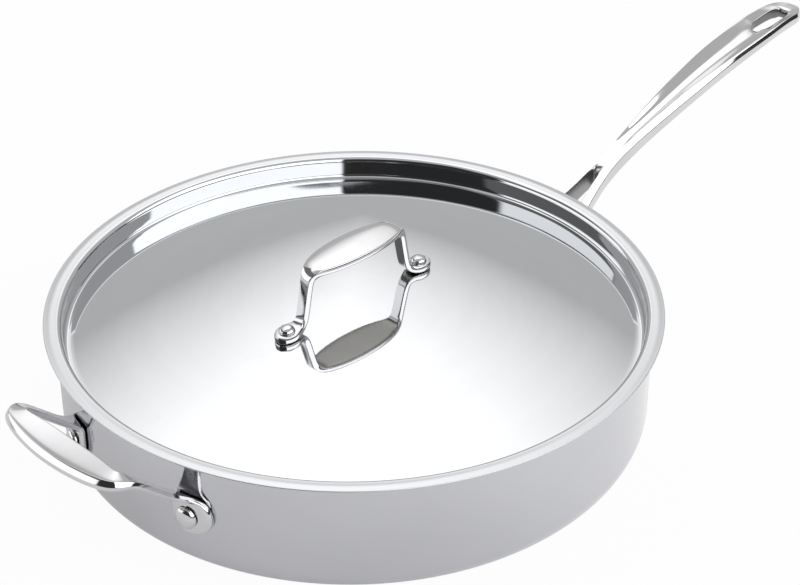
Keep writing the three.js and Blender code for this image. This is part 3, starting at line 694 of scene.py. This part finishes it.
def long_half_ring(distance, inner):
    """Eight points round the +Y half of the handle, from its inner top to its inner bottom edge."""
    half = long_half_width(distance)
    thick = long_thick(distance)
    rim = long_rim(distance)
    dish = long_dish(distance)
    change = smoothstep(distance, *LONG_BEVEL_CHANGE)
    bevel = min(lerp(LONG_NECK_BEVEL, LONG_TIP_BEVEL, change), LONG_BEVEL_SHARE * half)
    bevel_drop = bevel * lerp(LONG_NECK_STEEPNESS, LONG_TIP_STEEPNESS, change)
    shoulder = half - bevel
    rim_inside = lerp(inner, shoulder, 0.9)
    bottom = long_top(distance) - thick
    x = PAN_WALL_R + distance
    return [
        Vector((x, inner, rim - dish)),
        Vector((x, lerp(inner, rim_inside, 0.5), rim - 0.52 * dish)),
        Vector((x, rim_inside, rim - 0.04 * dish)),
        Vector((x, shoulder, rim)),
        Vector((x, half, rim - bevel_drop)),
        Vector((x, half - LONG_SIDE_DRAFT, bottom + 0.1 * thick)),
        Vector((x, lerp(inner, half, 0.5), bottom)),
        Vector((x, inner, bottom)),
    ]


def long_foot_rings():
    """Rings of one foot of the long handle, with the points in the same order as long_half_ring."""
    leg_along = Vector((1, -LONG_LEG_SLANT, 0)).normalized()
    rivet_station = len(FOOT_PLACES) - 1
    root = long_half_ring(0, fork_half_gap(0))
    leg_thick = root[4].y - root[0].y
    start = Vector((PAN_WALL_R, (root[4].y + root[0].y) / 2, 0))
    stations = foot_stations(LONG_RIVET_AZIMUTH, start, leg_along, leg_thick)
    rings = []
    for index, (middle, normal, half, thick) in enumerate(stations):
        into_leg = smoothstep(index, rivet_station, len(stations))
        top = lerp(FOOT_RIVET_Z + half, LONG_ROOT_TOP_Z, into_leg)
        bottom = lerp(FOOT_RIVET_Z - half, LONG_ROOT_TOP_Z - LONG_ROOT_THICK, into_leg)
        height = top - bottom
        outer, inner = middle + normal * thick / 2, middle - normal * thick / 2
        rings.append([
            inner + UP * top,
            middle + UP * top,
            middle.lerp(outer, 0.6) + UP * top,
            outer + UP * (top - 0.06 * height),
            outer + UP * (top - 0.35 * height),
            outer + UP * (bottom + 0.08 * height),
            middle + UP * bottom,
            inner + UP * bottom,
        ])
    return rings


def round_end(end, radius, towards_tip=1):
    """Places along the handle and half widths of a slot that closes with a round end."""
    return [
        (end - towards_tip * radius, radius),
        (end - towards_tip * 0.4 * radius, 0.86 * radius),
        (end, 0.5 * radius),
    ]


def floor_station(distance):
    """Place and half width of the trough's flat bottom."""
    return distance, min(LONG_DISH_FLOOR_HALF, LONG_DISH_FLOOR_SHARE * long_half_width(distance))


def tip_station(distance):
    return distance, LONG_DISH_FLOOR_SHARE * long_half_width(distance)


def long_stations():
    """Place and inner half width of each ring: along the fork, the neck, the hanging slot and the tip."""
    slot_end = LONG_LENGTH - HANG_SLOT_FROM_TIP
    slot_start = slot_end - HANG_SLOT_LENGTH
    slot_half = HANG_SLOT_WIDTH / 2
    fork = [(d, fork_half_gap(d)) for d in FORK_PLACES] + round_end(FORK_END_AT, FORK_END_R)
    neck = [floor_station(d) for d in (FORK_END_AT + FORK_TO_NECK, *LONG_NECK_PLACES)]
    slot = round_end(slot_start, slot_half, towards_tip=-1)[::-1]
    slot.append((slot_start + HANG_SLOT_LENGTH / 2, slot_half))
    slot += round_end(slot_end, slot_half)
    tip = [tip_station(slot_end + 0.35 * HANG_SLOT_FROM_TIP)]
    tip += [tip_station(LONG_LENGTH - back) for back in LONG_TIP_PLACES]
    return fork, neck, slot, tip


def long_handle(name):
    """Cast handle: two feet that fold out into the legs of a fork, a troughed grip and a hanging slot."""
    fork, neck, slot, tip = long_stations()
    stations = fork + neck + slot + tip
    foot_rings = long_foot_rings()
    first_closed = len(foot_rings) + len(fork) - 1
    slot_first = first_closed + len(neck) + 1
    slot_last = slot_first + len(slot) - 1
    rows = foot_rings + [long_half_ring(*station) for station in stations]

    cage = Cage()
    sides = [[cage.ring([Vector((p.x, s * p.y, p.z)) for p in row]) for row in rows] for s in (1, -1)]
    centres = {}
    for index in range(first_closed, len(rows)):
        if index <= slot_first or index >= slot_last:
            row = rows[index]
            top = Vector((row[0].x, 0, row[0].z))
            bottom = Vector((row[7].x, 0, row[7].z))
            centres[index] = cage.ring([top, bottom])
    for index in range(len(rows) - 1):
        is_open = index < first_closed or slot_first <= index < slot_last
        for side in sides:
            ring, other = side[index], side[index + 1]
            cage.skin(ring, other, closed=is_open)
            if not is_open:
                (top, bottom), (next_top, next_bottom) = centres[index], centres[index + 1]
                cage.face(ring[0], top, next_top, other[0])
                cage.face(ring[7], bottom, next_bottom, other[7])
    for side in sides:
        for index in (first_closed, slot_first, slot_last, len(rows) - 1):
            top, bottom = centres[index]
            cage.face(side[index][0], top, bottom, side[index][7])
        cage.cap(side[0])
        cage.cap(side[-1])
        cage.crease_rings(side, LONG_CREASES)
        for first, last in ((0, first_closed), (slot_first, slot_last)):
            for column in (0, 7):
                cage.crease([ring[column] for ring in side[first:last + 1]], SLOT_CREASE)
    return cage.piece(name)


# Lid handle

def lid_handle_section(half_width, half_thick, crown):
    """Ten points round the strip, as places across and above its middle."""
    a, b = half_width, half_thick
    edge = min(LID_HANDLE_EDGE, LID_HANDLE_EDGE_SHARE * a)
    return [
        (a - edge, b),
        (0.5 * a, b + 0.75 * crown),
        (0, b + crown),
        (-0.5 * a, b + 0.75 * crown),
        (-a + edge, b),
        (-a, 0.3 * b),
        (-a + 0.5 * edge, -b),
        (0, -b),
        (a - 0.5 * edge, -b),
        (a, 0.3 * b),
    ]


def bezier(start, control, end, share):
    return start.lerp(control, share).lerp(control.lerp(end, share), share)


def lid_handle_path():
    """Middle points of half the lid handle, from the end of one foot to the crown, in the XZ plane."""
    foot_x = LID_HANDLE_FOOT_SPAN / 2
    grip_x = LID_HANDLE_GRIP_SPAN / 2
    end_x = LID_RIVET_X + LID_HANDLE_FOOT_END
    crown_z = LID_HANDLE_TOP_Z - LID_HANDLE_GRIP_THICK / 2 - LID_HANDLE_CROWN

    def foot_at(x):
        return Vector((-x, 0, LID_FOOT_Z + dome_height(x) + LID_HANDLE_LEG_THICK / 2))

    grip_corner = Vector((-grip_x, 0, crown_z - LID_HANDLE_GRIP_ARCH))
    foot_corner = foot_at(foot_x)
    leg = (grip_corner - foot_corner).normalized()
    bend_x = foot_x + LID_HANDLE_BEND
    bend_start = foot_at(bend_x)
    leg_start = foot_corner + leg * LID_HANDLE_BEND
    leg_end = grip_corner - leg * LID_HANDLE_BEND
    arch = LID_HANDLE_ARCH_START * LID_HANDLE_GRIP_ARCH
    grip_start = Vector((-grip_x + LID_HANDLE_BEND, 0, crown_z - arch))
    crown = Vector((0, 0, crown_z))
    swell = Vector((-grip_x / 2, 0, crown_z))
    points = [foot_at(lerp(end_x, bend_x, share)) for share in LID_HANDLE_FOOT_SHARES]
    points += [bezier(bend_start, foot_corner, leg_start, share) for share in FOLD_SHARES]
    points.append(leg_start.lerp(leg_end, 0.5))
    points += [bezier(leg_end, grip_corner, grip_start, share) for share in LID_HANDLE_BEND_SHARES]
    points += [bezier(grip_start, swell, crown, share) for share in LID_HANDLE_GRIP_SHARES]
    return points


def lid_handle(name):
    """Cast bridge handle: round foot, leg, leaf-shaped grip, leg and foot in one bent strip."""
    half = lid_handle_path()
    path = half + [Vector((-p.x, 0, p.z)) for p in half[-2::-1]]
    rows = []
    for index, middle in enumerate(path):
        along = (path[min(index + 1, len(path) - 1)] - path[max(index - 1, 0)]).normalized()
        normal = along.cross(ALONG_Y).normalized()
        x = abs(middle.x)
        leaf = sqrt(max(0, 1 - (x / LID_HANDLE_LEAF_HALF) ** 2))
        past_rivet = max(0, x - LID_RIVET_X)
        rounding = sqrt(max(LID_HANDLE_END, 1 - (past_rivet / LID_HANDLE_FOOT_END) ** 2))
        foot = smoothstep(x, LID_HANDLE_FOOT_SPAN / 2, LID_RIVET_X - LID_HANDLE_FOOT_FROM)
        strip = lerp(LID_HANDLE_LEG_WIDTH, LID_HANDLE_FOOT_WIDTH, foot) * rounding
        grip = LID_HANDLE_GRIP_WIDTH * leaf
        width = (strip ** LID_HANDLE_BLEND + grip ** LID_HANDLE_BLEND) ** (1 / LID_HANDLE_BLEND)
        thick = lerp(LID_HANDLE_LEG_THICK, LID_HANDLE_GRIP_THICK, leaf)
        crown = LID_HANDLE_CROWN * lerp(LID_HANDLE_LEG_CROWN, 1, leaf)
        section = lid_handle_section(width / 2, thick / 2, crown)
        rows.append([middle + ALONG_Y * u + normal * v for u, v in section])
    cage = Cage()
    cage.strip(rows, LID_HANDLE_CREASES)
    return cage.piece(name)


# Node trees

class NodeTree:
    """Short ways to add nodes to a tree. A value is a socket or a plain number."""

    def __init__(self, tree):
        self.tree = tree
        self.nodes = tree.nodes

    def link(self, value, socket):
        if isinstance(value, bpy.types.NodeSocket):
            self.tree.links.new(value, socket)
        else:
            socket.default_value = value

    def fill(self, node, **inputs):
        """Link or set a node's inputs by name, with _ for a space."""
        for key, value in inputs.items():
            self.link(value, node.inputs[key.replace("_", " ")])
        return node

    def node(self, kind, **inputs):
        return self.fill(self.nodes.new("ShaderNode" + kind), **inputs)

    def maths(self, operation, first, second=0.0):
        node = self.node("Math")
        node.operation = operation
        self.link(first, node.inputs[0])
        self.link(second, node.inputs[1])
        return node.outputs[0]

    def parts(self, vector):
        """The x, y and z of a vector."""
        return self.node("SeparateXYZ", Vector=vector).outputs

    def ramp(self, value, zero_at, one_at, smooth=False):
        """0 at one value, 1 at the other, and held beyond them."""
        node = self.node("MapRange", Value=value, From_Min=zero_at, From_Max=one_at)
        node.interpolation_type = "SMOOTHSTEP" if smooth else "LINEAR"
        return node.outputs[0]

    def place(self):
        return self.node("TexCoord").outputs["Object"]

    def studio_axes(self, vector):
        """A vector's parts along the studio's fixed axes: x to the photo's right, y away, z up."""
        turn = self.node("VectorRotate", Vector=vector, Angle=radians(-CAMERA_AZIMUTH))
        turn.rotation_type = "Z_AXIS"
        return self.parts(turn.outputs[0])

    def mixed_shaders(self, share, first, second):
        mix = self.node("MixShader")
        for value, socket in zip((share, first, second), mix.inputs):
            self.link(value, socket)
        return mix.outputs[0]


# Finishes

class Finish(NodeTree):
    """A metal finish, built step by step."""

    def __init__(self, name, colour, roughness):
        self.material = bpy.data.materials.new(name)
        self.material.use_nodes = True
        super().__init__(self.material.node_tree)
        self.shader = self.nodes["Principled BSDF"]
        self.fill(self.shader, Base_Color=(*colour, 1), Metallic=1, Roughness=roughness)

    def normal(self):
        """Parts of the surface's direction in the piece's own axes."""
        return self.parts(self.node("TexCoord").outputs["Normal"])

    def stretched(self, scale):
        """Object coordinates scaled by different amounts along the axes."""
        return self.node("Mapping", Vector=self.place(), Scale=scale).outputs[0]

    def from_axis(self):
        """Distance from the pan's upright axis, in metres."""
        x, y, _ = self.parts(self.place())
        squares = self.maths("ADD", self.maths("POWER", x, 2.0), self.maths("POWER", y, 2.0))
        return self.maths("SQRT", squares)

    def turned(self, across, around):
        """Coordinates of a turned surface: fine across its rings, long around them."""
        x, y, z = self.parts(self.place())
        radius = self.maths("MULTIPLY", self.from_axis(), across)
        height = self.maths("MULTIPLY", z, across)
        angle = self.maths("MULTIPLY", self.maths("ARCTAN2", y, x), around)
        return self.node("CombineXYZ", X=radius, Y=height, Z=angle).outputs[0]

    def noise(self, place, scale=1.0, detail=3.0):
        return self.node("TexNoise", Vector=place, Scale=scale, Detail=detail).outputs["Fac"]

    def roughen(self, noise, low, high):
        """Let the roughness follow a noise between two ends."""
        ends = {"From_Min": NOISE_LOW, "From_Max": NOISE_HIGH, "To_Min": low, "To_Max": high}
        spread = self.node("MapRange", Value=noise, **ends)
        self.fill(self.shader, Roughness=spread.outputs[0])

    def bump(self, height, strength, distance):
        node = self.node("Bump", Height=height, Strength=strength, Distance=distance)
        self.fill(self.shader, Normal=node.outputs[0])

    def tint(self, noise, dark, light):
        """Vary the base colour between two near tones."""
        ramp = self.node("ValToRGB")
        self.link(noise, ramp.inputs[0])
        for stop, place, tone in zip(ramp.color_ramp.elements, (NOISE_LOW, NOISE_HIGH), (dark, light)):
            stop.position = place
            stop.color = (*tone, 1)
        self.fill(self.shader, Base_Color=ramp.outputs[0])

    def underside_shade(self):
        """1 on faces that look down, 0 on faces that look sideways or up: the mask of the painted shade
        under the cast pieces.
        """
        return self.ramp(self.normal()[2], UNDERSIDE_FROM, UNDERSIDE_FULL)

    def recess_shade(self, first, last):
        """1 on upright walls that face the long handle's middle, between two distances from the pan: the
        mask of the painted shade inside the slot and the fork.
        """
        x, y, _ = self.parts(self.place())
        _, sideways, upwards = self.normal()
        upright = self.ramp(self.maths("ABSOLUTE", upwards), UPRIGHT_FROM, UPRIGHT_FULL)
        inwards = self.maths("LESS_THAN", self.maths("MULTIPLY", y, sideways), MM)
        after = self.maths("GREATER_THAN", x, (PAN_WALL_R + first) * MM)
        before = self.maths("LESS_THAN", x, (PAN_WALL_R + last) * MM)
        along = self.maths("MULTIPLY", after, before)
        return self.maths("MULTIPLY", upright, self.maths("MULTIPLY", inwards, along))

    def dull_and_shade(self, mask, colour, roughness):
        """Lay a rougher finish and a plain colour over the finish where the mask is 1; where that colour is
        darker, it is painted shade.
        """
        for socket_name, value in (("Base Color", (*colour, 1)), ("Roughness", (roughness,) * 3 + (1,))):
            socket = self.shader.inputs[socket_name]
            mix = self.node("Mix")
            mix.data_type = "RGBA"
            self.link(mask, mix.inputs["Factor"])
            self.link(socket.links[0].from_socket, mix.inputs[MIX_FIRST])
            mix.inputs[MIX_SECOND].default_value = value
            self.link(mix.outputs[MIX_RESULT], socket)


def polished_steel():
    finish = Finish("polished_steel", (0.6, 0.602, 0.63), 0.1)
    grain = finish.noise(finish.turned(900, 2))
    finish.roughen(grain, 0.07, 0.13)
    finish.bump(grain, strength=0.05, distance=0.0002)
    finish.tint(finish.noise(finish.place(), scale=14), (0.585, 0.587, 0.615), (0.615, 0.617, 0.646))
    return finish.material


def mirror_steel():
    finish = Finish("mirror_steel", (0.65, 0.66, 0.675), 0.05)
    smudge = finish.noise(finish.place(), scale=22, detail=4)
    finish.roughen(smudge, 0.03, 0.06)
    finish.tint(finish.noise(finish.turned(60, 1)), (0.64, 0.65, 0.664), (0.665, 0.675, 0.69))
    finish.bump(finish.noise(finish.turned(500, 3)), strength=0.02, distance=0.0001)
    flange_from = LID_CREST_CENTRE_R - FLANGE_BLEND
    flange = finish.ramp(finish.from_axis(), flange_from * MM, LID_CREST_CENTRE_R * MM)
    finish.dull_and_shade(flange, (0.65, 0.66, 0.675), roughness=0.32)
    return finish.material


def cast_steel():
    finish = Finish("cast_steel", (0.67, 0.67, 0.68), 0.08)
    finish.roughen(finish.noise(finish.stretched((60, 160, 160)), detail=4), 0.05, 0.11)
    pits = finish.noise(finish.place(), scale=110, detail=2)
    finish.bump(pits, strength=0.06, distance=0.0003)
    finish.tint(finish.noise(finish.place(), scale=30), (0.65, 0.65, 0.66), (0.69, 0.69, 0.7))
    # Faces that look down get a rougher finish and a darker, browner colour, which is painted shade.
    finish.dull_and_shade(finish.underside_shade(), (0.5, 0.48, 0.445), roughness=0.25)
    # The upright walls inside the hanging slot and the fork get a rougher finish and a dark colour, which
    # is painted shade.
    slot_end = LONG_LENGTH - HANG_SLOT_FROM_TIP
    slot = finish.recess_shade(slot_end - HANG_SLOT_LENGTH - RECESS_MARGIN, slot_end + RECESS_MARGIN)
    fork = finish.recess_shade(RECESS_MARGIN, FORK_END_AT + RECESS_MARGIN)
    finish.dull_and_shade(slot, (0.2, 0.2, 0.2), roughness=0.3)
    finish.dull_and_shade(fork, (0.36, 0.36, 0.36), roughness=0.3)
    return finish.material


def rivet_steel():
    finish = Finish("rivet_steel", (0.66, 0.66, 0.67), 0.15)
    finish.roughen(finish.noise(finish.place(), scale=350, detail=4), 0.1, 0.2)
    finish.bump(finish.noise(finish.place(), scale=420), strength=0.12, distance=0.0002)
    finish.tint(finish.noise(finish.place(), scale=160), (0.62, 0.62, 0.63), (0.68, 0.68, 0.69))
    return finish.material


def satin_steel():
    finish = Finish("satin_steel", (0.6, 0.6, 0.61), 0.3)
    grain = finish.noise(finish.turned(1600, 3), detail=5)
    finish.roughen(grain, 0.24, 0.36)
    finish.bump(grain, strength=0.15, distance=0.0002)
    finish.tint(finish.noise(finish.turned(300, 1)), (0.57, 0.57, 0.58), (0.63, 0.63, 0.64))
    return finish.material


def core_aluminium():
    finish = Finish("core_aluminium", (0.66, 0.67, 0.68), 0.4)
    grain = finish.noise(finish.turned(1200, 4), detail=4)
    finish.roughen(grain, 0.34, 0.46)
    finish.bump(grain, strength=0.2, distance=0.0002)
    finish.tint(finish.noise(finish.place(), scale=90), (0.62, 0.63, 0.64), (0.69, 0.7, 0.71))
    return finish.material


# Studio

def floor_material():
    """Pale floor that shows white to the camera and to the metal, and keeps a share of its shadow; right of
    the pan, light is painted in for the metal.
    """
    material = bpy.data.materials.new("pale_floor")
    material.use_nodes = True
    floor = NodeTree(material.node_tree)
    shade = floor.nodes["Principled BSDF"]
    floor.fill(shade, Base_Color=(0.86, 0.86, 0.86, 1), Roughness=0.9, Specular_IOR_Level=0.1)
    white = floor.node("Emission", Strength=1)
    # Painted light: right of the pan the metal sees more plain white and less of the floor's own shade.
    painted_light_right = floor.ramp(floor.studio_axes(floor.place())[0], PAINTED_LIGHT_FROM, PAINTED_LIGHT_TO, smooth=True)
    more = floor.maths("MULTIPLY", painted_light_right, MIRRORED_SHARE - MIRRORED_SHARE_RIGHT)
    mirrored = floor.maths("ADD", 1 - MIRRORED_SHARE, more)
    rays = floor.node("LightPath").outputs
    to_camera = floor.maths("MULTIPLY", rays["Is Camera Ray"], 1 - SHADOW_SHARE)
    to_metal = floor.maths("MULTIPLY", rays["Is Glossy Ray"], mirrored)
    whiteness = floor.maths("ADD", to_camera, to_metal)
    surface = floor.mixed_shaders(whiteness, shade.outputs[0], white.outputs[0])
    floor.fill(floor.nodes["Material Output"], Surface=surface)
    return material


def studio_floor():
    bm = bmesh.new()
    bmesh.ops.create_grid(bm, x_segments=8, y_segments=8, size=FLOOR_HALF / MM)
    floor = new_piece("studio_floor", bm)
    floor.data.materials.append(floor_material())


class Sky(NodeTree):
    """World background, painted by direction along the studio's axes."""

    def __init__(self):
        self.world = bpy.data.worlds.new("studio")
        self.world.use_nodes = True
        super().__init__(self.world.node_tree)
        direction = self.node("TexCoord").outputs["Generated"]
        self.x, self.y, self.z = self.studio_axes(direction)
        self.elevation = self.maths("DEGREES", self.maths("ARCSINE", self.z))
        towards = self.maths("MULTIPLY", self.y, -1.0)
        self.azimuth = self.maths("DEGREES", self.maths("ARCTAN2", self.x, towards))

    def band(self, value, low, high, soft):
        """1 between two ends, falling to 0 over a soft edge outside them."""
        rise = self.ramp(value, low - soft, low, smooth=True)
        fall = self.ramp(value, high, high + soft, smooth=True)
        return self.maths("SUBTRACT", rise, fall)

    def painted(self, below, azimuths, elevations, soft, level):
        """Lay a screen of one level over what is below."""
        across = self.band(self.azimuth, *azimuths, soft)
        upward = self.band(self.elevation, *elevations, soft)
        mask = self.maths("MULTIPLY", across, upward)
        kept = self.maths("MULTIPLY", below, self.maths("SUBTRACT", 1.0, mask))
        return self.maths("ADD", kept, self.maths("MULTIPLY", mask, level))

    def panel(self):
        """1 on the overhead panel, with soft ends."""
        height = self.maths("MAXIMUM", self.z, LEAST_HEIGHT)
        right = self.maths("DIVIDE", self.x, height)
        away = self.maths("DIVIDE", self.y, height)
        off_middle = self.maths("ABSOLUTE", self.maths("ADD", right, PANEL_MIDDLE))
        reach = self.maths("ADD", away, self.maths("MULTIPLY", off_middle, PANEL_NARROWING))
        far = self.maths("SUBTRACT", 1.0, self.ramp(reach, *PANEL_FAR_END))
        near_edge = self.maths("SUBTRACT", away, self.maths("MULTIPLY", right, PANEL_SLANT))
        return self.maths("MULTIPLY", far, self.ramp(near_edge, *PANEL_NEAR_END, smooth=True))


def studio_world():
    """Soft studio light on the metal, and plain white behind the object."""
    sky = Sky()
    level = sky.maths("ADD", SKY_LEVEL, sky.maths("MULTIPLY", sky.panel(), PANEL_LEVEL))
    above = sky.maths("MULTIPLY", sky.ramp(sky.elevation, 0, HORIZON_TOP, smooth=True), 1 - HORIZON_LEVEL)
    level = sky.maths("MULTIPLY", level, sky.maths("ADD", HORIZON_LEVEL, above))
    for screen in SCREENS:
        level = sky.painted(level, *screen)
    light = sky.fill(sky.nodes["Background"], Color=(1, 1, 1, 1), Strength=level)
    white = sky.node("Background", Color=(1, 1, 1, 1), Strength=1)
    to_camera = sky.node("LightPath").outputs["Is Camera Ray"]
    surface = sky.mixed_shaders(to_camera, light.outputs[0], white.outputs[0])
    sky.fill(sky.nodes["World Output"], Surface=surface)
    scene.world = sky.world


def studio_camera():
    aim = Euler((radians(90 - CAMERA_ELEVATION), 0, radians(CAMERA_AZIMUTH))).to_matrix()
    turn = aim @ Matrix.Rotation(radians(CAMERA_ROLL), 3, "Z")
    right, up, back = aim.col
    target = Vector(CAMERA_AIM) + right * CAMERA_AIM_RIGHT + up * CAMERA_AIM_UP
    data = bpy.data.cameras.new("photo_camera")
    data.lens = CAMERA_LENS
    data.sensor_width = CAMERA_SENSOR
    data.sensor_fit = "HORIZONTAL"
    camera = bpy.data.objects.new("photo_camera", data)
    camera.matrix_world = Matrix.Translation(target + back * CAMERA_DISTANCE) @ turn.to_4x4()
    scene.collection.objects.link(camera)
    scene.camera = camera


# Assembly

FINISHES = (polished_steel, core_aluminium, satin_steel, mirror_steel, cast_steel, rivet_steel)
MATERIALS = {finish.__name__: finish() for finish in FINISHES}


def dress(piece, node, body, slot):
    """Give a piece its finish and let it stand for its CAD node on that body."""
    piece.data.materials.append(MATERIALS[slot])
    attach(piece, body)
    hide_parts(node)


WALL_RIVETS = {
    "long_handle_rivet_left": LONG_RIVET_AZIMUTH,
    "long_handle_rivet_right": -LONG_RIVET_AZIMUTH,
    "helper_rivet_left": 180 - HELPER_RIVET_AZIMUTH,
    "helper_rivet_right": 180 + HELPER_RIVET_AZIMUTH,
}
LID_RIVETS = {"lid_rivet_left": -1, "lid_rivet_right": 1}

scene.view_settings.view_transform = "Standard"
studio_camera()
studio_world()
studio_floor()

dress(pan_ply("outer_shell_fine", 0, OUTER_PLY), "pan_outer_shell", "pan", "polished_steel")
dress(pan_ply("core_fine", CORE_DEPTH, CORE_DEPTH + CORE_PLY), "pan_core", "pan", "core_aluminium")
dress(pan_ply("liner_fine", LINER_DEPTH, PAN_THICK), "pan_inner_liner", "pan", "satin_steel")
dress(long_handle("long_handle_fine"), "long_handle", "pan", "cast_steel")
dress(helper_handle("helper_handle_fine"), "helper_handle", "pan", "cast_steel")
for node, azimuth in WALL_RIVETS.items():
    dress(wall_rivet(node + "_fine", azimuth), node, "pan", "rivet_steel")
dress(lid_sheet("lid_cover_fine"), "lid_cover", "lid", "mirror_steel")
dress(lid_handle("lid_handle_fine"), "lid_handle", "lid", "cast_steel")
for node, side in LID_RIVETS.items():
    dress(lid_rivet(node + "_fine", side), node, "lid", "rivet_steel")
